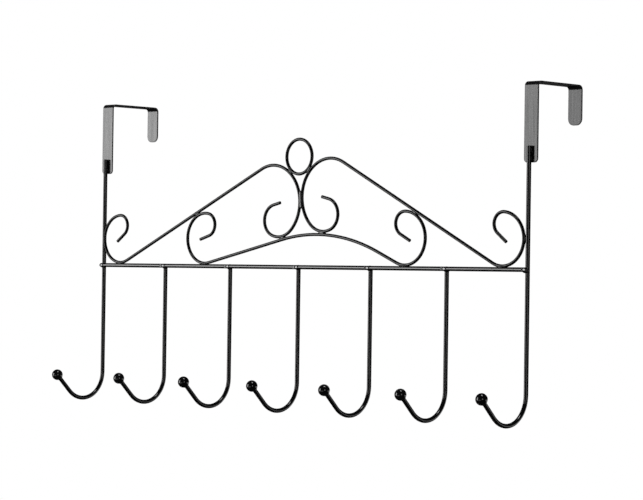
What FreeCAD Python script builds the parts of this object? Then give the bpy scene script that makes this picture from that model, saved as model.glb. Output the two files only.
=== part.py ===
import FreeCAD, Part
import Sketcher
import math
import os

# Over door hook rack of round steel wire. Millimetres, +X to the right, +Y towards the door, +Z up.
# The origin is the middle of the door's top front edge, where the two straps hook over the door.
# Each piece is drawn from the uprights' plane and the cross bar's centre and then moved to that origin.

doc = FreeCAD.newDocument("over_door_hook")
sheet = doc.addObject("Spreadsheet::Sheet", "Sizes")
sizes = {
    # Hook wires
    "hook_pitch": 72.0,  # from one hook to the next
    "hook_wire": 3.2,  # diameter of the hook wires and uprights
    "hook_drop": 85.5,  # from the cross bar down to the start of the hook's bend
    "bend_radius": 20.2,  # hook bend, on the wire's centre line
    "bend_turn": 135.0,  # hook bend, degrees
    "hook_run": 18.2,  # straight run from the bend to the ball's centre
    "lap_height": 1.2,  # hook wire's upper end above the cross bar's centre
    "upright_top": 84.6,  # upright's upper end above the cross bar's centre
    # Ball tips
    "ball_diameter": 8.4,  # ball tip
    "ball_bore": 4.6,  # depth of the ball's bore, to the wire's end
    # Cross bar
    "bar_wire": 3.2,  # diameter of the cross bar
    "mark_depth": 0.25,  # flat left by the welding electrode
    "mark_length": 4.0,  # length of that flat
    # Door straps
    "strap_width": 12.0,  # flat strip, across
    "strap_thickness": 1.2,  # flat strip
    "strap_bend": 1.3,  # inside radius of the strip's bends
    "door_gap": 47.5,  # clear gap between the strap's legs
    "strap_top": 129.0,  # strap's outer top above the cross bar's centre
    "strap_lap": 11.5,  # overlap of strap and upright
    "rear_leg": 28.0,  # strap's rear leg, from the outer top to its end
    "front_corner": 2.8,  # rounded corners of the front leg's end
    "rear_corner": 4.6,  # rounded corners of the rear leg's end
    # Scroll work
    "scroll_wire": 2.4,  # diameter of the scroll wires
    "peak_radius": 28.1,  # roof scroll, outer bend at the peak
    "peak_height": 50.0,  # centre of that bend above the cross bar, the mean of left and right
    "peak_step": 4.0,  # the right peak stands this much higher than the left one
    "peak_shift": 3.0,  # the peaks meet this far to the right of the rack's middle
    "neck_radius": 19.0,  # roof scroll, second bend
    "neck_turn": 67.0,  # degrees
    "eye_radius": 11.8,  # roof scroll, innermost bend
    "eye_turn": 144.0,  # degrees
    "eye_heading": -13.0,  # direction in which the inner tail runs into the eye, degrees
    "eye_tail": 7.2,  # straight inner tail
    "foot_radius": 18.7,  # roof scroll, outer bend of the foot curl
    "foot_turn": 204.0,  # degrees
    "foot_eye_radius": 8.2,  # roof scroll, inner bend of the foot curl
    "foot_eye_turn": 145.0,  # degrees
    "foot_tail": 10.0,  # straight tail of the foot curl
    "arch_straight": 20.1,  # arch scroll, straight between the long bend and the right end curl
    "arch_foot_radius": 19.2,  # arch scroll, outer bend of the end curl
    "arch_foot_turn": 204.0,  # degrees
    "arch_eye_radius": 8.7,  # arch scroll, inner bend of the end curl
    "arch_eye_turn": 152.0,  # degrees
    "arch_tail": 10.0,  # straight tail of the end curl
    "ring_radius": 12.9,  # ring, on the wire's centre line
    "ring_joint": 0.3,  # gap of the ring's butt joint
    "ring_joint_angle": -52.0,  # where that joint lies, degrees from +X
}

for row, (alias, value) in enumerate(sizes.items(), 1):
    sheet.set("A%d" % row, alias.replace("_", " "))
    sheet.set("B%d" % row, str(value))
    sheet.setAlias("B%d" % row, alias)
doc.recompute()


def read(alias):
    return float(sheet.get(alias))


HOOKS = 7
END = (HOOKS - 1) / 2

# Places that follow from the sizes

hook_r = read("hook_wire") / 2
bar_r = read("bar_wire") / 2
scroll_r = read("scroll_wire") / 2
bar_y = -(hook_r + bar_r)
# The scroll wires' plane is the one in which bar and uprights touch, so they rest against both.
scroll_y = -hook_r
upright_x = END * read("hook_pitch")
side_step = math.sqrt((hook_r + scroll_r) ** 2 - scroll_y ** 2)
rise_step = math.sqrt((bar_r + scroll_r) ** 2 - (bar_y - scroll_y) ** 2)


def toward(angle, length=1.0):
    """Vector in a sketch plane, by direction and length."""
    return FreeCAD.Vector(length * math.cos(angle), length * math.sin(angle), 0)


def slope_between(centre_a, radius_a, centre_b, radius_b):
    """Direction of the straight that leaves bend a clockwise and enters bend b anticlockwise."""
    gap = centre_b - centre_a
    lean = math.acos((radius_a + radius_b) / gap.Length)
    return math.atan2(gap.y, gap.x) + lean - math.pi / 2


# Roof scrolls: the two peak bends touch each other, each foot curl touches its upright and the bar. The
# tails, eyes and necks turn alike on both sides.
eye_heading = math.radians(read("eye_heading"))
neck_heading = eye_heading - math.radians(read("eye_turn"))
peak_heading = neck_heading - math.radians(read("neck_turn"))


class RoofPlan:
    """Places along one roof scroll and the arch's end curl below it, all given as on the right side."""

    def __init__(self, peak_x, peak_height):
        self.peak = FreeCAD.Vector(peak_x, peak_height, 0)
        foot_x = upright_x - side_step - read("foot_radius")
        foot = FreeCAD.Vector(foot_x, rise_step + read("foot_radius"), 0)
        self.slope = slope_between(self.peak, read("peak_radius"), foot, read("foot_radius"))
        normal = self.slope + math.pi / 2
        top = self.peak + toward(normal, read("peak_radius"))
        bottom = foot - toward(normal, read("foot_radius"))
        self.run = (bottom - top).Length
        self.peak_turn = (peak_heading - self.slope) % (2 * math.pi)
        self.neck = self.peak + toward(peak_heading + math.pi / 2, read("peak_radius") - read("neck_radius"))
        self.eye = self.neck + toward(neck_heading + math.pi / 2, read("neck_radius") - read("eye_radius"))
        eye_start = self.eye + toward(eye_heading + math.pi / 2, read("eye_radius"))
        self.start = eye_start - toward(eye_heading, read("eye_tail"))
        # the arch's end curl touches the bar and, from below, the straight
        curl_y = rise_step + read("arch_foot_radius")
        below = read("arch_foot_radius") + 2 * scroll_r
        curl_x = top.x - (below + (curl_y - top.y) * math.sin(normal)) / math.cos(normal)
        self.curl = FreeCAD.Vector(curl_x, curl_y, 0)


half_step = read("peak_step") / 2
peak_x = math.sqrt((read("peak_radius") + scroll_r) ** 2 - half_step ** 2)
left_plan = RoofPlan(peak_x - read("peak_shift"), read("peak_height") - half_step)
right_plan = RoofPlan(peak_x + read("peak_shift"), read("peak_height") + half_step)


def mirrored(point):
    return FreeCAD.Vector(-point.x, point.y, 0)


# Arch scroll: its long bend carries the two bends of the roof scrolls that face down, and its end curls
# touch the bar and the roof's straights. These contacts and the length of its right straight fix it.

def long_bend():
    """Radius and centre of the bend that touches both carried bends and runs into the right curl."""
    if neck_heading > -math.pi:
        carried = [mirrored(left_plan.neck), right_plan.neck]
        touch = read("neck_radius") + 2 * scroll_r
    else:
        carried = [mirrored(left_plan.eye), right_plan.eye]
        touch = read("eye_radius") + 2 * scroll_r
    left, right = carried
    curl, curl_r = right_plan.curl, read("arch_foot_radius")
    # both carried bends are as far from the centre, and the curl is further by what the straight needs:
    # two lines that cross at the centre, for each radius
    across, aside = right - left, curl - right
    along = (right.Length ** 2 - left.Length ** 2) / 2
    squares = curl.Length ** 2 - right.Length ** 2 - curl_r ** 2 + touch ** 2 - read("arch_straight") ** 2
    area = across.x * aside.y - across.y * aside.x
    fixed = crossing(across, aside, along, squares / 2, area)
    moving = crossing(across, aside, 0, touch - curl_r, area)
    gap = fixed - right
    half_b = touch - gap.dot(moving)
    a = 1 - moving.dot(moving)
    c = gap.dot(gap) - touch ** 2
    radius = (math.sqrt(half_b ** 2 + a * c) - half_b) / a
    return radius, fixed + moving * radius


def crossing(first, second, first_value, second_value, area):
    """Point p with first.p = first_value and second.p = second_value."""
    return FreeCAD.Vector(first_value * second.y - second_value * first.y,
                          second_value * first.x - first_value * second.x, 0) / area


arch_radius, arch = long_bend()


class ArchPlan:
    """Places along one half of the arch scroll, given as on the right side."""

    def __init__(self, centre, curl):
        self.slope = slope_between(centre, arch_radius, curl, read("arch_foot_radius"))
        normal = self.slope + math.pi / 2
        start = centre + toward(normal, arch_radius)
        goal = curl - toward(normal, read("arch_foot_radius"))
        self.run = (goal - start).Length
        eye_heading = self.slope + math.radians(read("arch_foot_turn"))
        eye = curl + toward(eye_heading - math.pi / 2, read("arch_foot_radius") - read("arch_eye_radius"))
        self.tail_heading = eye_heading + math.radians(read("arch_eye_turn"))
        tail_start = eye + toward(self.tail_heading - math.pi / 2, read("arch_eye_radius"))
        self.tip = tail_start + toward(self.tail_heading, read("arch_tail"))


left_arch = ArchPlan(mirrored(arch), left_plan.curl)
right_arch = ArchPlan(arch, right_plan.curl)

# Ring: it sits in the notch between the two peaks.
ring_reach = read("ring_radius") + 2 * scroll_r + read("peak_radius")
peak_gap = right_plan.peak - mirrored(left_plan.peak)
notch = FreeCAD.Vector(-peak_gap.y, peak_gap.x, 0) / peak_gap.Length
ring_centre = (right_plan.peak + mirrored(left_plan.peak)) / 2
ring_centre += notch * math.sqrt(ring_reach ** 2 - (peak_gap.Length / 2) ** 2)


class Route:
    """Centre line of a bent wire: straights and bends that run on smoothly from one to the next."""

    def __init__(self, start, heading, side=1):
        self.side = side
        self.point = FreeCAD.Vector(side * start.x, start.y, 0)
        self.heading = heading if side > 0 else math.pi - heading
        self.pieces = []

    def straight(self, length):
        goal = self.point + toward(self.heading, length)
        self.pieces.append((Part.LineSegment(self.point, goal), None, True))
        self.point = goal
        return self

    def bend(self, radius, turn, radius_name):
        """radius_name is the sheet's cell for the radius, or None where the contacts fix it. A positive
        turn is anticlockwise on the right side."""
        turn = turn * self.side
        left = math.copysign(math.pi / 2, turn)
        centre = self.point + toward(self.heading + left, radius)
        first = self.heading - left
        last = first + turn
        circle = Part.Circle(centre, FreeCAD.Vector(0, 0, 1), radius)
        arc = Part.ArcOfCircle(circle, min(first, last), max(first, last))
        self.pieces.append((arc, radius_name, turn > 0))
        self.point = centre + toward(last, radius)
        self.heading += turn
        return self


def origin_plane(body, role):
    return [f for f in body.Origin.OriginFeatures if f.Role == role][0]


def new_body(label):
    body = doc.addObject("PartDesign::Body", label)
    body.Label = label
    return body


def new_sketch(body, name, role, offset=None):
    """Sketch on one of the body's own planes, moved along the plane's normal by an expression."""
    sketch = body.newObject("Sketcher::SketchObject", name)
    sketch.AttachmentSupport = [(origin_plane(body, role), "")]
    sketch.MapMode = "FlatFace"
    if offset:
        sketch.setExpression("AttachmentOffset.Base.z", offset)
    return sketch


def place(body, x="0", y="0", z="0"):
    """Puts a body at a place given from the uprights' plane and the cross bar's centre."""
    body.setExpression("Placement.Base.x", x)
    body.setExpression("Placement.Base.y", y + " - Sizes.hook_wire / 2 - Sizes.strap_thickness")
    body.setExpression("Placement.Base.z", z + " - Sizes.strap_top + Sizes.strap_thickness")


def bind(sketch, constraint, name, expression):
    """Adds a dimension to a sketch and ties it to the sheet."""
    number = sketch.addConstraint(constraint)
    sketch.renameConstraint(number, name)
    sketch.setExpression("Constraints." + name, expression)


def draw_route(sketch, route):
    """Draws a route and joins its pieces tangentially."""
    for index, (curve, radius_name, forward) in enumerate(route.pieces):
        sketch.addGeometry(curve, False)
        if index:
            before = 2 if route.pieces[index - 1][2] else 1
            after = 1 if forward else 2
            sketch.addConstraint(Sketcher.Constraint("Tangent", index - 1, before, index, after))
        if radius_name:
            radius = Sketcher.Constraint("Radius", index, curve.Radius)
            bind(sketch, radius, "bend_%d" % index, "Sizes." + radius_name)


def wire(label, role, offset, route, wire_name):
    """Round wire bent along a route in one of the body's planes."""
    body = new_body(label)
    path = new_sketch(body, label + "_route", role, offset)
    draw_route(path, route)
    doc.recompute()
    section = body.newObject("Sketcher::SketchObject", label + "_section")
    section.AttachmentSupport = [(path, "Edge1")]
    section.MapMode = "NormalToEdge"
    section.addGeometry(Part.Circle(FreeCAD.Vector(0, 0, 0), FreeCAD.Vector(0, 0, 1), read(wire_name) / 2), False)
    section.addConstraint(Sketcher.Constraint("Coincident", 0, 3, -1, 1))
    bind(section, Sketcher.Constraint("Diameter", 0, read(wire_name)), "wire", "Sizes." + wire_name)
    pipe = body.newObject("PartDesign::AdditivePipe", label + "_wire")
    pipe.Profile = section
    pipe.Spine = (path, ["Edge%d" % (i + 1) for i in range(len(route.pieces))])
    body.Tip = pipe
    return body


# Hook wires. The two end ones run on upwards as the rack's uprights. Each is bent in its own
# Y-Z plane: straight down, one bend forwards and up, and a short run into the ball.

run_end = read("hook_run") - read("ball_diameter") / 2 + read("ball_bore")


def hook_route(top):
    route = Route(FreeCAD.Vector(0, top, 0), -math.pi / 2)
    route.straight(top + read("hook_drop"))
    route.bend(read("bend_radius"), -math.radians(read("bend_turn")), "bend_radius")
    return route.straight(run_end)


def hook_name(index):
    if index == 0:
        return "left_end_hook"
    if index == HOOKS - 1:
        return "right_end_hook"
    return "hook_%d" % (index + 1)


hooks = []
for index in range(HOOKS):
    at_end = index in (0, HOOKS - 1)
    top = read("upright_top") if at_end else read("lap_height")
    hook = wire(hook_name(index), "YZ_Plane", None, hook_route(top), "hook_wire")
    place(hook, "Sizes.hook_pitch * %g" % (index - END))
    hooks.append(hook)


# Ball tips: turned balls with a blind bore, pushed onto the wires' ends.

balls = []
for index in range(HOOKS):
    label = "ball_tip_%d" % (index + 1)
    ball = new_body(label)
    profile = new_sketch(ball, label + "_profile", "XZ_Plane")
    ball_r = read("ball_diameter") / 2
    mouth = -math.sqrt(ball_r ** 2 - hook_r ** 2)
    bottom = read("ball_bore") - ball_r
    corners = [FreeCAD.Vector(hook_r, mouth, 0), FreeCAD.Vector(hook_r, bottom, 0),
               FreeCAD.Vector(0, bottom, 0), FreeCAD.Vector(0, ball_r, 0)]
    for a, b in zip(corners, corners[1:]):
        profile.addGeometry(Part.LineSegment(a, b), False)
    outside = Part.Circle(FreeCAD.Vector(0, 0, 0), FreeCAD.Vector(0, 0, 1), ball_r)
    profile.addGeometry(Part.ArcOfCircle(outside, math.atan2(mouth, hook_r), math.pi / 2), False)
    for line in range(2):
        profile.addConstraint(Sketcher.Constraint("Coincident", line, 2, line + 1, 1))
    profile.addConstraint(Sketcher.Constraint("Coincident", 2, 2, 3, 2))
    profile.addConstraint(Sketcher.Constraint("Coincident", 3, 1, 0, 1))
    profile.addConstraint(Sketcher.Constraint("Coincident", 3, 3, -1, 1))
    profile.addConstraint(Sketcher.Constraint("Vertical", 0))
    profile.addConstraint(Sketcher.Constraint("Horizontal", 1))
    profile.addConstraint(Sketcher.Constraint("PointOnObject", 1, 2, -2))
    profile.addConstraint(Sketcher.Constraint("PointOnObject", 2, 2, -2))
    bind(profile, Sketcher.Constraint("Radius", 3, ball_r), "ball", "Sizes.ball_diameter / 2")
    bind(profile, Sketcher.Constraint("DistanceX", -1, 1, 0, 1, hook_r), "bore", "Sizes.hook_wire / 2")
    bind(profile, Sketcher.Constraint("DistanceY", 1, 2, 2, 2, ball_r - bottom), "web",
         "Sizes.ball_diameter - Sizes.ball_bore")
    turned = ball.newObject("PartDesign::Revolution", label + "_turned")
    turned.Profile = profile
    turned.ReferenceAxis = (profile, ["V_Axis"])
    turned.Angle = 360
    ball.Tip = turned
    ball.Placement = FreeCAD.Placement(FreeCAD.Vector(0, 0, 0), FreeCAD.Rotation(FreeCAD.Vector(1, 0, 0), 45))
    turn = "Sizes.bend_turn * 1deg"
    ball.setExpression("Placement.Rotation.Angle", "180deg - " + turn)
    place(ball, "Sizes.hook_pitch * %g" % (index - END),
          "-Sizes.bend_radius * (1 - cos(%s)) - Sizes.hook_run * sin(%s)" % (turn, turn),
          "-Sizes.hook_drop - Sizes.bend_radius * sin(%s) - Sizes.hook_run * cos(%s)" % (turn, turn))
    balls.append(ball)


# Cross bar: a straight wire in front of the uprights and hook wires, from one upright's centre line to
# the other's, with a small flat where the electrode pressed it onto each of them.

bar = new_body("cross_bar")
bar_section = new_sketch(bar, "cross_bar_section", "YZ_Plane")
bar_section.addGeometry(Part.Circle(FreeCAD.Vector(0, 0, 0), FreeCAD.Vector(0, 0, 1), bar_r), False)
bar_section.addConstraint(Sketcher.Constraint("Coincident", 0, 3, -1, 1))
bind(bar_section, Sketcher.Constraint("Diameter", 0, 2 * bar_r), "wire", "Sizes.bar_wire")
rod = bar.newObject("PartDesign::Pad", "cross_bar_rod")
rod.Profile = bar_section
rod.SideType = "Symmetric"
rod.setExpression("Length", "Sizes.hook_pitch * %d" % (HOOKS - 1))
doc.recompute()
rod_volume = bar.Shape.Volume

mark_sketch = new_sketch(bar, "cross_bar_mark", "XZ_Plane", "Sizes.bar_wire / 2 - Sizes.mark_depth")
half = read("mark_length") / 2
corners = [(-upright_x - half, -bar_r), (-upright_x + half, -bar_r),
           (-upright_x + half, bar_r), (-upright_x - half, bar_r)]
corners = [FreeCAD.Vector(x, z, 0) for x, z in corners]
for line in range(4):
    mark_sketch.addGeometry(Part.LineSegment(corners[line], corners[(line + 1) % 4]), False)
for line in range(4):
    mark_sketch.addConstraint(Sketcher.Constraint("Coincident", line, 2, (line + 1) % 4, 1))
    mark_sketch.addConstraint(Sketcher.Constraint("Vertical" if line % 2 else "Horizontal", line))
bind(mark_sketch, Sketcher.Constraint("DistanceX", 0, 1, 0, 2, 2 * half), "length", "Sizes.mark_length")
bind(mark_sketch, Sketcher.Constraint("DistanceY", 1, 1, 1, 2, 2 * bar_r), "height", "Sizes.bar_wire")
bind(mark_sketch, Sketcher.Constraint("DistanceY", 0, 2, -1, 1, bar_r), "below", "Sizes.bar_wire / 2")
bind(mark_sketch, Sketcher.Constraint("DistanceX", 0, 1, -1, 1, upright_x + half), "place",
     "Sizes.hook_pitch * %g + Sizes.mark_length / 2" % END)
mark = bar.newObject("PartDesign::Pocket", "cross_bar_flat")
mark.Profile = mark_sketch
mark.Reversed = True
mark.setExpression("Length", "Sizes.mark_depth * 2")
marks = bar.newObject("PartDesign::LinearPattern", "cross_bar_flats")
marks.Originals = [mark]
marks.Direction = (mark_sketch, ["H_Axis"])
marks.Occurrences = HOOKS
marks.setExpression("Length", "Sizes.hook_pitch * %d" % (HOOKS - 1))
bar.Tip = marks
place(bar, y="-(Sizes.hook_wire + Sizes.bar_wire) / 2")


# Door straps: flat strip with two square bends. The front leg lies against the back of the upright,
# the top plate rests on the door's top edge and the short rear leg hangs behind the door.

def strap(label, side):
    body = new_body(label)
    outline = new_sketch(body, label + "_outline", "YZ_Plane")
    thick = read("strap_thickness")
    inner = read("strap_bend")
    outer = inner + thick
    front = hook_r
    rear = front + 2 * thick + read("door_gap")
    top = read("strap_top")
    front_end = read("upright_top") - read("strap_lap")
    rear_end = top - read("rear_leg")
    axis = FreeCAD.Vector(0, 0, 1)
    front_bend = FreeCAD.Vector(front + outer, top - outer, 0)
    rear_bend = FreeCAD.Vector(rear - outer, top - outer, 0)
    ends = [(front, front_end), (front, top - outer), (front + outer, top), (rear - outer, top),
            (rear, top - outer), (rear, rear_end), (rear - thick, rear_end), (rear - thick, top - outer),
            (rear - outer, top - thick), (front + outer, top - thick), (front + thick, top - outer),
            (front + thick, front_end)]
    ends = [FreeCAD.Vector(y, z, 0) for y, z in ends]
    quarter = math.pi / 2
    # centre, radius, first angle, whether the outline runs with the angle, and the radius's expression
    outside = "Sizes.strap_bend + Sizes.strap_thickness"
    arcs = {1: (front_bend, outer, 2 * quarter, -1, outside),
            3: (rear_bend, outer, quarter, -1, outside),
            7: (rear_bend, inner, 0, 1, "Sizes.strap_bend"),
            9: (front_bend, inner, quarter, 1, "Sizes.strap_bend")}
    for index in range(len(ends)):
        if index in arcs:
            centre, radius, first, way, expression = arcs[index]
            low, high = sorted((first, first + way * quarter))
            outline.addGeometry(Part.ArcOfCircle(Part.Circle(centre, axis, radius), low, high), False)
        else:
            outline.addGeometry(Part.LineSegment(ends[index], ends[(index + 1) % len(ends)]), False)
    for index in range(len(ends)):
        after = (index + 1) % len(ends)
        leave = 1 if index in arcs and arcs[index][3] < 0 else 2
        enter = 2 if after in arcs and arcs[after][3] < 0 else 1
        kind = "Tangent" if index in arcs or after in arcs else "Coincident"
        outline.addConstraint(Sketcher.Constraint(kind, index, leave, after, enter))
    for index in (0, 4, 6, 10):
        outline.addConstraint(Sketcher.Constraint("Vertical", index))
    for index in (2, 5, 11):
        outline.addConstraint(Sketcher.Constraint("Horizontal", index))
    for index, (centre, radius, first, way, expression) in arcs.items():
        if index != 7:
            bind(outline, Sketcher.Constraint("Radius", index, radius), "bend_%d" % index, expression)
    bind(outline, Sketcher.Constraint("DistanceX", -1, 1, 0, 1, front), "front_face", "Sizes.hook_wire / 2")
    bind(outline, Sketcher.Constraint("DistanceX", 0, 1, 11, 1, thick), "thickness", "Sizes.strap_thickness")
    bind(outline, Sketcher.Constraint("DistanceX", 11, 1, 6, 1, read("door_gap")), "gap", "Sizes.door_gap")
    bind(outline, Sketcher.Constraint("DistanceX", 6, 1, 5, 1, thick), "rear_thickness", "Sizes.strap_thickness")
    bind(outline, Sketcher.Constraint("DistanceY", -1, 1, 2, 1, top), "top_height", "Sizes.strap_top")
    bind(outline, Sketcher.Constraint("DistanceY", 0, 1, 2, 1, top - front_end), "front_leg",
         "Sizes.strap_top - Sizes.upright_top + Sizes.strap_lap")
    bind(outline, Sketcher.Constraint("DistanceY", 5, 1, 3, 2, read("rear_leg")), "rear_leg", "Sizes.rear_leg")
    strip = body.newObject("PartDesign::Pad", label + "_strip")
    strip.Profile = outline
    strip.SideType = "Symmetric"
    strip.setExpression("Length", "Sizes.strap_width")
    body.Tip = strip
    doc.recompute()
    previous = strip
    for name, end_z, low, high in (("front_corner", front_end, 0, front + 2 * thick),
                                   ("rear_corner", rear_end, rear - 2 * thick, rear + thick)):
        edges = []
        for number, edge in enumerate(body.Shape.Edges, 1):
            box = edge.BoundBox
            across = abs(box.YLength - thick) < 1e-6 and box.XLength < 1e-6
            if across and abs(box.ZMin - end_z) < 1e-6 and box.YMin > low and box.YMax < high:
                edges.append("Edge%d" % number)
        rounded = body.newObject("PartDesign::Fillet", label + "_" + name)
        rounded.Base = (previous, edges)
        rounded.setExpression("Radius", "Sizes." + name)
        body.Tip = rounded
        doc.recompute()
        previous = rounded
    place(body, "Sizes.hook_pitch * %g" % (side * END))
    return body


straps = [strap("left_door_strap", -1), strap("right_door_strap", 1)]


# Scroll work: two roof scrolls that lean on each other, the arch scroll below them and the ring on top.

def roof_route(plan, side):
    route = Route(plan.start, eye_heading, side)
    route.straight(read("eye_tail"))
    route.bend(read("eye_radius"), -math.radians(read("eye_turn")), "eye_radius")
    route.bend(read("neck_radius"), -math.radians(read("neck_turn")), "neck_radius")
    route.bend(read("peak_radius"), -plan.peak_turn, "peak_radius")
    route.straight(plan.run)
    route.bend(read("foot_radius"), math.radians(read("foot_turn")), "foot_radius")
    route.bend(read("foot_eye_radius"), math.radians(read("foot_eye_turn")), "foot_eye_radius")
    return route.straight(read("foot_tail"))


def arch_route():
    """From the left tail's tip, in over its curl, along the long bend and out to the right tail's tip."""
    route = Route(mirrored(left_arch.tip), -left_arch.tail_heading)
    route.straight(read("arch_tail"))
    route.bend(read("arch_eye_radius"), math.radians(read("arch_eye_turn")), "arch_eye_radius")
    route.bend(read("arch_foot_radius"), math.radians(read("arch_foot_turn")), "arch_foot_radius")
    route.straight(left_arch.run)
    route.bend(arch_radius, left_arch.slope + right_arch.slope, None)
    route.straight(right_arch.run)
    route.bend(read("arch_foot_radius"), math.radians(read("arch_foot_turn")), "arch_foot_radius")
    route.bend(read("arch_eye_radius"), math.radians(read("arch_eye_turn")), "arch_eye_radius")
    return route.straight(read("arch_tail"))


scroll_offset = "Sizes.hook_wire / 2"
roofs = [wire("left_roof_scroll", "XZ_Plane", scroll_offset, roof_route(left_plan, -1), "scroll_wire"),
         wire("right_roof_scroll", "XZ_Plane", scroll_offset, roof_route(right_plan, 1), "scroll_wire")]
arch_scroll = wire("arch_scroll", "XZ_Plane", scroll_offset, arch_route(), "scroll_wire")

# The ring is bent from the same wire and closed with a butt joint at its lower right.
joint_angle = math.radians(read("ring_joint_angle"))
ring = Route(ring_centre + toward(joint_angle, read("ring_radius")), joint_angle + math.pi / 2)
ring.bend(read("ring_radius"), 2 * math.pi - read("ring_joint") / read("ring_radius"), "ring_radius")
top_ring = wire("top_ring", "XZ_Plane", scroll_offset, ring, "scroll_wire")
for scroll in roofs + [arch_scroll, top_ring]:
    place(scroll)


doc.recompute()
for item in doc.Objects:
    if "Invalid" in item.State or "Error" in item.State:
        raise RuntimeError("%s: %s" % (item.Label, item.State))
if not bar.Shape.Volume < rod_volume - 1e-6:
    raise RuntimeError("the flats of the cross bar cut nothing")

os.makedirs("parts", exist_ok=True)
for body in [bar] + hooks + balls + straps + roofs + [arch_scroll, top_ring]:
    if body.Shape.isNull() or not body.Shape.isValid() or len(body.Shape.Solids) != 1:
        raise RuntimeError("%s has no valid single solid" % body.Label)
    body.Shape.exportStep("parts/%s.step" % body.Label)
    print("%-18s %9.1f mm3" % (body.Label, body.Shape.Volume))
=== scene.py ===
import bpy
import math
from mathutils import Matrix, Vector


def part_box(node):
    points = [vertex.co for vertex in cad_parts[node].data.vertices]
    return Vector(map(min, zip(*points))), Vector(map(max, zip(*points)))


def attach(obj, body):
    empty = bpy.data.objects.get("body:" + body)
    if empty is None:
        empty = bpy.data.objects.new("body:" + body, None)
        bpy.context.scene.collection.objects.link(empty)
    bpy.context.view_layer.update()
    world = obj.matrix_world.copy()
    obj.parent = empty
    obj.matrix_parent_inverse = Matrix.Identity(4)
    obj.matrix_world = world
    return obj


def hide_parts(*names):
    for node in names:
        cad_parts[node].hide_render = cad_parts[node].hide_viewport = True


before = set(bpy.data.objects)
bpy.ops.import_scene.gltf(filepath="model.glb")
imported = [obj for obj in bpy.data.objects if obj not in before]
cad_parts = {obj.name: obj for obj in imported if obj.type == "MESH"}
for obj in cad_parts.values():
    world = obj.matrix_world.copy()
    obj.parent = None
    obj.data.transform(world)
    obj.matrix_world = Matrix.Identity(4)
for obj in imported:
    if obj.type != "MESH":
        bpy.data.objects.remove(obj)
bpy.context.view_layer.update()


# Cross bar
# One straight length of drawn mild steel wire, 3.2 mm thick, that ties the rack together. The hooks and
# the scroll work are resistance welded to it, and the whole rack is then dipped in black enamel and baked.

MM = 0.001  # metres in a millimetre


def linear(hex_colour):
    """sRGB hex to a linear RGBA colour."""
    parts = [int(hex_colour[i:i + 2], 16) / 255 for i in (1, 3, 5)]
    return [c / 12.92 if c <= 0.04045 else ((c + 0.055) / 1.055) ** 2.4 for c in parts] + [1.0]


def add(tree, kind, links=None, **settings):
    """Adds a node: settings name its properties or input sockets, links join its inputs to outputs."""
    node = tree.nodes.new(kind)
    for name, value in settings.items():
        if hasattr(node, name):
            setattr(node, name, value)
        else:
            node.inputs[name.replace("_", " ")].default_value = value
    for name, output in (links or {}).items():
        tree.links.new(output, node.inputs[name])
    return node


def enamel(name, thin, thick, peel_mm, peel_depth_mm, gloss, patch_mm=(11, 11, 11), specular=0.5):
    """Baked black enamel. Where the dipped coat ran thin it is a little greyer and duller (thin),
    elsewhere deep black and wet looking (thick), in soft patches of the size patch_mm. Its skin has a
    faint orange peel, peel_mm wide and peel_depth_mm deep. gloss is the roughness of thick and of thin
    coat."""
    material = bpy.data.materials.new(name)
    material.use_nodes = True
    tree = material.node_tree
    tree.nodes.clear()
    place = add(tree, "ShaderNodeTexCoord").outputs["Object"]
    patches = add(tree, "ShaderNodeMapping", {"Vector": place},
                  Scale=[1 / (size * MM) for size in patch_mm])
    runs = add(tree, "ShaderNodeTexNoise", {"Vector": patches.outputs["Vector"]}, Scale=1.0, Detail=2.0)
    peel = add(tree, "ShaderNodeTexNoise", {"Vector": place}, Scale=1 / (peel_mm * MM), Detail=0.5)
    shade = add(tree, "ShaderNodeValToRGB", {"Fac": runs.outputs["Fac"]})
    for stop, (at, colour) in zip(shade.color_ramp.elements, ((0.35, thick), (0.68, thin))):
        stop.position, stop.color = at, linear(colour)
    dull = add(tree, "ShaderNodeMapRange", {"Value": runs.outputs["Fac"]},
               From_Min=0.3, From_Max=0.7, To_Min=gloss[0], To_Max=gloss[1])
    skin = add(tree, "ShaderNodeBump", {"Height": peel.outputs["Fac"]},
               Strength=1.0, Distance=peel_depth_mm * MM)
    shader = add(tree, "ShaderNodeBsdfPrincipled", {"Base Color": shade.outputs["Color"],
                                                    "Roughness": dull.outputs["Result"],
                                                    "Normal": skin.outputs["Normal"]},
                 IOR=1.5, Specular_IOR_Level=specular)
    add(tree, "ShaderNodeOutputMaterial", {"Surface": shader.outputs["BSDF"]})
    return material


def dress(node, material):
    """Puts one finish on a CAD node."""
    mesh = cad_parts[node].data
    mesh.materials.clear()
    mesh.materials.append(material)


# enamel on drawn wire: near black and wet looking, with one thin crisp grey line along each wire
wire_enamel = enamel("baked_enamel_on_wire", "#101011", "#060607", 1.1, 0.002, (0.09, 0.16))
dress("cross_bar", wire_enamel)


# Hook wires
# Seven lengths of the same wire, each bent forwards and up into a hook. The five inner ones end behind
# the bar, the two outer ones run on up to the door straps.

PITCH = 72.0  # from one hook to the next, millimetres
HOOKS = ["left_end_hook", "hook_2", "hook_3", "hook_4", "hook_5", "hook_6", "right_end_hook"]
for node in HOOKS:
    dress(node, wire_enamel)


# Hook welds
# Where the bar crosses a hook wire the two were pressed together red hot: a little metal was squeezed
# out into the corners of the crossing and set there as an uneven flat drop, never quite in the middle.

WIRE_PLANE = -4.4  # y of the plane in which bar and hook wires touch, millimetres
BAR_HEIGHT = -127.8  # z of the bar's centre line, millimetres
DROP_SIZE = (5.0, 3.6, 1.7)  # along the bar, up, and through both wires, millimetres
DROP_OFF_CENTRE = (0.9, 0.6, 0.4, 0.8, 0.5, 0.7, -0.8)  # along the bar, from each crossing
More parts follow.
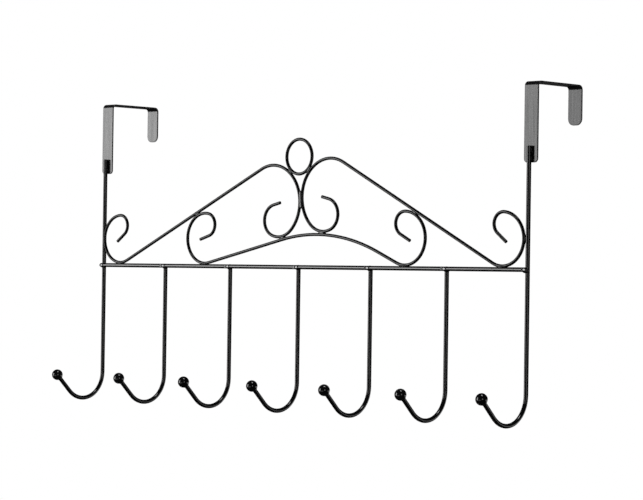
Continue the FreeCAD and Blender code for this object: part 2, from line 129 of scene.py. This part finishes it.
# enamel on weld metal: duller and bumpier, because the metal under it set unevenly
weld_enamel = enamel("baked_enamel_on_weld", "#121213", "#070708", 0.9, 0.006, (0.16, 0.3))


def weld(name, place, along, across, size, roundness, seed, uneven=0.045):
    """A drop of weld metal: size is its length along the seam, its width across the two wires and its
    depth, in millimetres. roundness goes from a block with soft corners (0) to an egg (1), and uneven
    is how far its points stray, as a share of its size."""
    bpy.ops.object.select_all(action="DESELECT")
    bpy.ops.mesh.primitive_cube_add(size=1)
    drop = bpy.context.object
    drop.name = name
    bpy.ops.object.mode_set(mode="EDIT")
    bpy.ops.mesh.select_all(action="SELECT")
    bpy.ops.mesh.subdivide(number_cuts=3)
    bpy.ops.transform.tosphere(value=roundness)
    bpy.ops.transform.vertex_random(offset=uneven, uniform=0.3, normal=0.7, seed=seed)
    bpy.ops.mesh.vertices_smooth(factor=0.4)
    bpy.ops.object.mode_set(mode="OBJECT")
    along, across = along.normalized(), across.normalized()
    turn = Matrix((along, across, along.cross(across))).transposed().to_4x4()
    stretch = Matrix.Diagonal([length * MM for length in size] + [1])
    drop.matrix_world = Matrix.Translation(place * MM) @ turn @ stretch
    bpy.ops.object.transform_apply(location=True, rotation=True, scale=True)
    rounding = drop.modifiers.new("rounding", "SUBSURF")
    rounding.levels = rounding.render_levels = 1
    bpy.ops.object.modifier_apply(modifier="rounding")
    bpy.ops.object.shade_smooth()
    drop.data.materials.append(weld_enamel)
    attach(drop, "root")
    return drop


for index, off_centre in enumerate(DROP_OFF_CENTRE):
    crossing = Vector(((index - 3) * PITCH + off_centre, WIRE_PLANE + 0.5, BAR_HEIGHT - 0.35))
    weld("weld_%d_bar_to_hook" % (index + 1), crossing, Vector((1, 0, 0)), Vector((0, 0, 1)),
         DROP_SIZE, 0.75, index)


# Electrode marks
# At every crossing the welding electrode pressed a small oval pad on the bar's front, never quite in
# the middle. The enamel pools on it, so the pad shines more than the wire and its sloping edge is a
# dark ring.

PAD_LENGTH, PAD_HEIGHT = 5.4, 2.6  # outline of the oval, millimetres
PAD_BODY = 0.5  # thickness of its body, most of it inside the bar
PAD_EDGE, PAD_RISE = 0.56, 0.34  # width and height of its sloping edge, before the oval is stretched
PAD_PLACE = -7.2  # y of its body's middle
MARK_OFF_CENTRE = (2.1, 1.9, 1.7, 2.1, 0.9, 1.4, 0.8)  # along the bar, from each crossing
# a thick pool of enamel: smoother and more mirror-like than on the wire, so it flashes light grey
mark_enamel = enamel("baked_enamel_on_mark", "#1a1a1b", "#0c0c0d", 1.3, 0.001, (0.08, 0.12),
                     specular=0.85)


def again(piece, name, along_bar):
    """A copy of a finished piece, with a mesh of its own, moved along the bar by millimetres."""
    bpy.ops.object.select_all(action="DESELECT")
    piece.select_set(True)
    bpy.context.view_layer.objects.active = piece
    bpy.ops.object.duplicate(linked=False)
    copy = bpy.context.object
    copy.name = name
    copy.location.x = along_bar * MM
    bpy.ops.object.transform_apply(location=True, rotation=True, scale=True)
    return copy


bpy.ops.object.select_all(action="DESELECT")
bpy.ops.mesh.primitive_cylinder_add(vertices=40, radius=1.0 * MM, depth=PAD_BODY * MM)
pad = bpy.context.object
pad.name = "electrode_mark_1"
bpy.ops.object.mode_set(mode="EDIT")
bpy.ops.mesh.select_mode(type="FACE")
bpy.ops.mesh.select_all(action="DESELECT")
bpy.ops.object.mode_set(mode="OBJECT")
for face in pad.data.polygons:
    face.select = face.normal.z > 0.9  # only the front
bpy.ops.object.mode_set(mode="EDIT")
bpy.ops.mesh.inset(thickness=PAD_EDGE * MM)
bpy.ops.transform.translate(value=(0, 0, PAD_RISE * MM))
bpy.ops.mesh.select_all(action="SELECT")
bpy.ops.transform.resize(value=(PAD_LENGTH / 2, PAD_HEIGHT / 2, 1))
bpy.ops.object.mode_set(mode="OBJECT")
lip = pad.modifiers.new("soft_edges", "BEVEL")
lip.width, lip.segments, lip.limit_method, lip.angle_limit = 0.08 * MM, 3, "ANGLE", math.radians(8)
bpy.ops.object.modifier_apply(modifier="soft_edges")
bpy.ops.object.shade_smooth_by_angle(angle=math.radians(40))
pad.location = Vector((-3 * PITCH + MARK_OFF_CENTRE[0], PAD_PLACE, BAR_HEIGHT)) * MM
pad.rotation_euler = (math.pi / 2, 0, 0)
bpy.ops.object.transform_apply(location=True, rotation=True, scale=True)
pad.data.materials.append(mark_enamel)
for index in range(7):
    along_bar = index * PITCH + MARK_OFF_CENTRE[index] - MARK_OFF_CENTRE[0]
    mark = pad if index == 0 else again(pad, "electrode_mark_%d" % (index + 1), along_bar)
    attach(mark, "root")


# Ball tips
# Turned steel balls, 8.4 mm, bored and pressed on the wires' ends so that clothes don't catch. The
# enamel gathers in a small ring in the corner between ball and wire.

# enamel on a turned ball: the smoothest ground of all, so each lamp is a small crisp spot
ball_enamel = enamel("baked_enamel_on_ball", "#131314", "#060607", 1.3, 0.006, (0.07, 0.14))
for index in range(7):
    dress("ball_tip_%d" % (index + 1), ball_enamel)

MOUTH = 3.98  # from the ball's middle to where the wire goes in, millimetres
wire_way = Vector((0, -1, 1)).normalized()
low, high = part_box("ball_tip_1")
wire_mouth = (Vector(low) + Vector(high)) / 2 - wire_way * MOUTH * MM
bpy.ops.object.select_all(action="DESELECT")
bpy.ops.mesh.primitive_torus_add(major_radius=1.72 * MM, minor_radius=0.3 * MM,
                                 major_segments=40, minor_segments=12)
ring = bpy.context.object
ring.name = "enamel_ring_1"
bpy.ops.object.mode_set(mode="EDIT")
bpy.ops.mesh.select_all(action="SELECT")
bpy.ops.transform.resize(value=(1, 1, 1.5))
bpy.ops.object.mode_set(mode="OBJECT")
along_wire = wire_way.to_track_quat("Z", "X").to_matrix().to_4x4()
ring.matrix_world = Matrix.Translation(wire_mouth) @ along_wire
bpy.ops.object.transform_apply(location=True, rotation=True, scale=True)
bpy.ops.object.shade_smooth()
ring.data.materials.append(ball_enamel)
for index in range(7):
    fillet = ring if index == 0 else again(ring, "enamel_ring_%d" % (index + 1), index * PITCH)
    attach(fillet, "root")


# Door straps
# Two hot rolled steel strips, 12 mm wide and 1.2 mm thick, with rounded ends, bent square over the top
# of the door. The rolling left fine streaks along the strip, and the coat rounds off its sheared edges.

STRIP_WIDTH, STRIP_THICKNESS = 12.0, 1.2
UPRIGHT = 3 * PITCH  # from the rack's middle to each upright
DOOR_GAP = 47.5  # clear gap between a strap's two legs
BEND = 2.4  # inner radius of the bends
FRONT_LEG, REAR_LEG = 54.7, 26.8  # from the door's top edge down to the ends of the legs
FRONT_CORNER, REAR_CORNER = 2.8, 4.6  # radii of the corners at those ends
COAT_ROUNDING = 0.4  # radius of the enamelled edges
# enamel on rolled strip: flats that mirror the soft box as one grey sheet, with faint streaks along
# them. Rolling marks are about 0.1 mm wide and are drawn 0.9 mm wide, so that they show.
strip_enamel = enamel("baked_enamel_on_strip", "#1a1a1b", "#060607", 1.2, 0.003, (0.14, 0.3),
                      patch_mm=(0.9, 40, 40))


def pick(piece, wanted):
    """Selects the points of a piece that pass a test on their place in millimetres."""
    bpy.ops.object.mode_set(mode="OBJECT")
    for part in (*piece.data.polygons, *piece.data.edges):
        part.select = False
    for point in piece.data.vertices:
        point.select = wanted(point.co / MM)
    bpy.ops.object.mode_set(mode="EDIT")


# the face that lies on the door comes first, from the front leg's end over the top to the rear leg's
bpy.ops.object.select_all(action="DESELECT")
bpy.ops.mesh.primitive_plane_add(size=STRIP_WIDTH * MM, rotation=(math.pi / 2, 0, 0),
                                 location=(-UPRIGHT * MM, 0, (STRIP_WIDTH / 2 - FRONT_LEG) * MM))
strap = bpy.context.object
strap.name = "left_strap"
bpy.ops.object.transform_apply(location=True, rotation=True, scale=True)
bpy.ops.object.mode_set(mode="EDIT")
bpy.ops.mesh.select_mode(type="VERT")
pick(strap, lambda p: p.z > 1 - FRONT_LEG)
bpy.ops.transform.translate(value=(0, 0, (FRONT_LEG - STRIP_WIDTH - BEND) * MM))
bpy.ops.mesh.spin(steps=8, angle=math.pi / 2, center=(0, BEND * MM, -BEND * MM), axis=(1, 0, 0))
bpy.ops.mesh.extrude_region_move(TRANSFORM_OT_translate={"value": (0, (DOOR_GAP - 2 * BEND) * MM, 0)})
bpy.ops.mesh.spin(steps=8, angle=math.pi / 2, center=(0, (DOOR_GAP - BEND) * MM, -BEND * MM),
                  axis=(1, 0, 0))
bpy.ops.mesh.extrude_region_move(TRANSFORM_OT_translate={"value": (0, 0, (BEND - REAR_LEG) * MM)})
pick(strap, lambda p: p.z < 1 - FRONT_LEG)
bpy.ops.mesh.bevel(offset=FRONT_CORNER * MM, segments=8, affect="VERTICES")
pick(strap, lambda p: p.z < 1 - REAR_LEG and p.y > DOOR_GAP - 1)
bpy.ops.mesh.bevel(offset=REAR_CORNER * MM, segments=10, affect="VERTICES")
bpy.ops.mesh.select_all(action="SELECT")
bpy.ops.mesh.remove_doubles(threshold=0.01 * MM)
bpy.ops.mesh.normals_make_consistent(inside=False)
bpy.ops.object.mode_set(mode="OBJECT")
plate = strap.modifiers.new("plate", "SOLIDIFY")
plate.thickness, plate.offset, plate.use_even_offset = STRIP_THICKNESS * MM, 1.0, True
bpy.ops.object.modifier_apply(modifier="plate")
bpy.ops.object.shade_smooth()
coat = strap.modifiers.new("coat", "BEVEL")
coat.width, coat.segments, coat.harden_normals = COAT_ROUNDING * MM, 4, True
coat.limit_method, coat.angle_limit = "ANGLE", math.radians(50)
bpy.ops.object.modifier_apply(modifier="coat")
strap.data.materials.append(strip_enamel)
right_strap = again(strap, "right_strap", 2 * UPRIGHT)
for piece, node in ((strap, "left_door_strap"), (right_strap, "right_door_strap")):
    dress(node, strip_enamel)
    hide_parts(node)
    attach(piece, "root")


# Roof scrolls
# Two lengths of thinner wire, 2.4 mm, each bent cold round pegs into a long slope with a curl at both
# ends, and cut square. Bent one by one, the right one stands 4 mm higher than the left one.

# enamel on the thinner wire: the same gloss with less mirror in it, so its grey line is fainter
scroll_enamel = enamel("baked_enamel_on_scroll_wire", "#111112", "#060607", 1.0, 0.002, (0.09, 0.17),
                       specular=0.26)
for node in ("left_roof_scroll", "right_roof_scroll"):
    dress(node, scroll_enamel)


# Arch scroll
# One length of the same wire, bent into a flat arch that carries the roof scrolls' necks, with a curl at
# each end that fills the corner between bar and slope.

dress("arch_scroll", scroll_enamel)


# Top ring
# The same wire bent round into a ring of 28 mm and butted, with the joint turned down to the right.
# It lies in the notch between the two peaks and touches both.

dress("top_ring", scroll_enamel)


# Scroll welds
# The scroll work is held by small resistance welds wherever two wires touch. The peaks lean on each
# other for 13 mm, and there the electrodes left one long flat seam.

def spot(x, z, y=WIRE_PLANE):
    """A place on the scroll work, in millimetres from the bar's middle."""
    return Vector((x, y, BAR_HEIGHT + z))


FRONT = Vector((0, -1, 0))
SMALL_BEAD = (5.5, 1.5, 1.9)
left_peak, right_peak = spot(-26.2, 48.0), spot(32.2, 52.0)
left_neck, right_neck = spot(-19.9, 41.5), spot(25.9, 45.5)
arch_middle, ring_middle = spot(18.4, -132.8), spot(0.8, 81.9)
left_curl, right_curl = spot(-98.5, 21.5), spot(105.8, 21.5)
left_slope, right_slope = Vector((-42.2, 0, 90.6)), Vector((45.7, 0, 88.9))  # square to the slopes
seams = [
    # name, middle of a bend, a point beyond the seam, how far the seam is from that middle, and the
    # drop's size, roundness and unevenness
    ("peaks", left_peak, right_peak, 29.3, (13.2, 2.1, 2.45), 0.06, 0.01),
    ("left_neck", left_neck, arch_middle, 20.2, SMALL_BEAD, 0.75, 0.045),
    ("right_neck", right_neck, arch_middle, 20.2, (6.5, 1.7, 1.9), 0.75, 0.045),
    ("ring_left", ring_middle, left_peak, 14.1, (5.0, 1.5, 1.9), 0.75, 0.045),
    ("ring_right", ring_middle, right_peak, 14.1, (6.5, 1.9, 2.2), 0.7, 0.045),
    ("left_arch_curl", left_curl, left_curl + left_slope, 20.4, SMALL_BEAD, 0.75, 0.045),
    ("right_arch_curl", right_curl, right_curl + right_slope, 20.4, SMALL_BEAD, 0.75, 0.045),
]
for number, (name, start, toward, away, size, roundness, uneven) in enumerate(seams):
    across = (toward - start).normalized()
    drop = weld("weld_" + name, start + across * away, across.cross(FRONT), across,
                size, roundness, 20 + number, uneven)

# the curls that stand on the bar and the two that lean on the uprights, each drop across both wires, and
# the spot welds between uprights and straps
feet = (("left_roof", -195.0), ("left_arch", -98.5), ("right_arch", 105.8), ("right_roof", 195.0))
for number, (name, x) in enumerate(feet):
    drop = weld("weld_%s_to_bar" % name, spot(x, 1.3, WIRE_PLANE - 0.7), Vector((1, 0, 0)),
                Vector((0, 1.6, 2.3)), (7.5, 1.5, 2.2), 0.7, 40 + number)
for name, way in (("left", -1), ("right", 1)):
    drop = weld("weld_%s_roof_to_upright" % name, spot(way * 214.7, 21.0, WIRE_PLANE + 0.7),
                Vector((0, 0, 1)), Vector((way * 2.3, 1.6, 0)), (5.0, 1.5, 2.2), 0.75, 50 + way)
    for number, z in enumerate((75.5, 80.5)):
        weld("weld_%s_strap_%d" % (name, number + 1), spot(way * UPRIGHT, z, -1.2), Vector((0, 0, 1)),
             Vector((0, 1, 0)), (3.2, 0.9, 2.6), 0.8, 60 + way + 4 * number)


# The photograph's viewpoint
# From the right and a hair below the bar, 1.8 m away, through a long lens. The camera was tilted a
# little about its line of sight.

PHOTO_WIDTH = 643
PHOTO_FOCAL = 2444.1  # in the photograph's pixels
azimuth, elevation, roll = math.radians(43.274), math.radians(-0.590), math.radians(0.805)
look_at = spot(23.10, 12.83, -2.8) * MM
distance = 1795.75 * MM
sight = Vector((-math.sin(azimuth) * math.cos(elevation), math.cos(azimuth) * math.cos(elevation),
                -math.sin(elevation)))
bpy.ops.object.camera_add(location=look_at - sight * distance)
camera = bpy.context.object
camera.name = "photo_camera"
level = Vector((math.cos(azimuth), math.sin(azimuth), 0))
upright = level.cross(sight)
right = math.cos(roll) * level + math.sin(roll) * upright
up = math.cos(roll) * upright - math.sin(roll) * level
camera.rotation_mode = "QUATERNION"
camera.rotation_quaternion = Matrix((right, up, -sight)).transposed().to_quaternion()
camera.data.sensor_width = 36.0
camera.data.lens = 36.0 * PHOTO_FOCAL / PHOTO_WIDTH
camera.data.clip_start, camera.data.clip_end = 0.05, 100
bpy.context.scene.camera = camera


# Studio
# A white backdrop and a white floor that only the camera sees, so that the black enamel mirrors the
# soft boxes and little else: a tall one on the left draws the thin grey lines along the wires.

# all but 3 % of the backdrop's light is for the camera alone
world = bpy.data.worlds.new("studio")
bpy.context.scene.world = world
world.use_nodes = True
tree = world.node_tree
tree.nodes.clear()
seen = add(tree, "ShaderNodeLightPath").outputs["Is Camera Ray"]
share = add(tree, "ShaderNodeMapRange", {"Value": seen}, To_Min=0.03, To_Max=1.0)
back = add(tree, "ShaderNodeBackground", {"Strength": share.outputs["Result"]})
back.inputs["Color"].default_value = (1, 1, 1, 1)
add(tree, "ShaderNodeOutputWorld", {"Surface": back.outputs["Background"]})

FLOOR_DEPTH = 2.03  # from the door's top edge down to the floor, metres
bpy.ops.object.select_all(action="DESELECT")
bpy.ops.mesh.primitive_plane_add(size=16, location=(0, 0, -FLOOR_DEPTH))
floor = bpy.context.object
floor.name = "floor"
floor.visible_glossy = floor.visible_diffuse = floor.visible_shadow = False
# white paper that glows with painted light: painted shade makes it greyer under the rack, and it glows
# brighter outward, so that its edge melts into the backdrop
painted_glow_floor = bpy.data.materials.new("white_floor_painted_glow")
painted_glow_floor.use_nodes = True
tree = painted_glow_floor.node_tree
tree.nodes.clear()
place = add(tree, "ShaderNodeTexCoord").outputs["Object"]
outward = add(tree, "ShaderNodeVectorMath", {0: place}, operation="LENGTH").outputs["Value"]
# painted light and shade: the floor's glow is weakest right under the rack and grows outward
glow = add(tree, "ShaderNodeMapRange", {"Value": outward},
           From_Min=1.0, From_Max=6.5, To_Min=0.75, To_Max=1.0)
sheet = add(tree, "ShaderNodeBsdfPrincipled", {"Emission Strength": glow.outputs["Result"]},
            Base_Color=linear("#f4f4f4"), Emission_Color=linear("#ffffff"), Roughness=0.9)
add(tree, "ShaderNodeOutputMaterial", {"Surface": sheet.outputs["BSDF"]})
floor.data.materials.append(painted_glow_floor)


def soft_box(name, azimuth_deg, elevation_deg, away, width, height, power):
    """A soft box that lights the rack from an azimuth (to the right of straight ahead), an elevation and
    a distance, with its size in metres and its power in watts."""
    a, e = math.radians(azimuth_deg), math.radians(elevation_deg)
    toward = Vector((math.sin(a) * math.cos(e), -math.cos(a) * math.cos(e), math.sin(e)))
    rack_middle = Vector((0, 0, -0.12))
    bpy.ops.object.light_add(type="AREA", location=rack_middle + toward * away)
    lamp = bpy.context.object
    lamp.name = name
    lamp.data.shape = "RECTANGLE"
    lamp.data.size, lamp.data.size_y = width, height
    lamp.data.energy = power
    lamp.rotation_mode = "QUATERNION"
    lamp.rotation_quaternion = (-toward).to_track_quat("-Z", "Y")


# three boxes draw the photograph's highlights: the straps' grey faces and the left, top and middle spots
# on the balls
soft_box("tall_box_left", -45, 5, 6.0, 2.1, 4.0, 190)
soft_box("top_box", 70, 76, 3.0, 0.9, 0.9, 24)
soft_box("low_fill_by_camera", 60, 5, 5.0, 1.2, 1.8, 21)
# two dim, low ones show the straps' flats in views from other sides
soft_box("low_box_behind", 163, -14, 5.0, 8.6, 1.6, 60)
soft_box("low_box_in_front", 0, -16, 5.0, 4.0, 1.4, 16)

bpy.context.scene.view_settings.view_transform = "Standard"
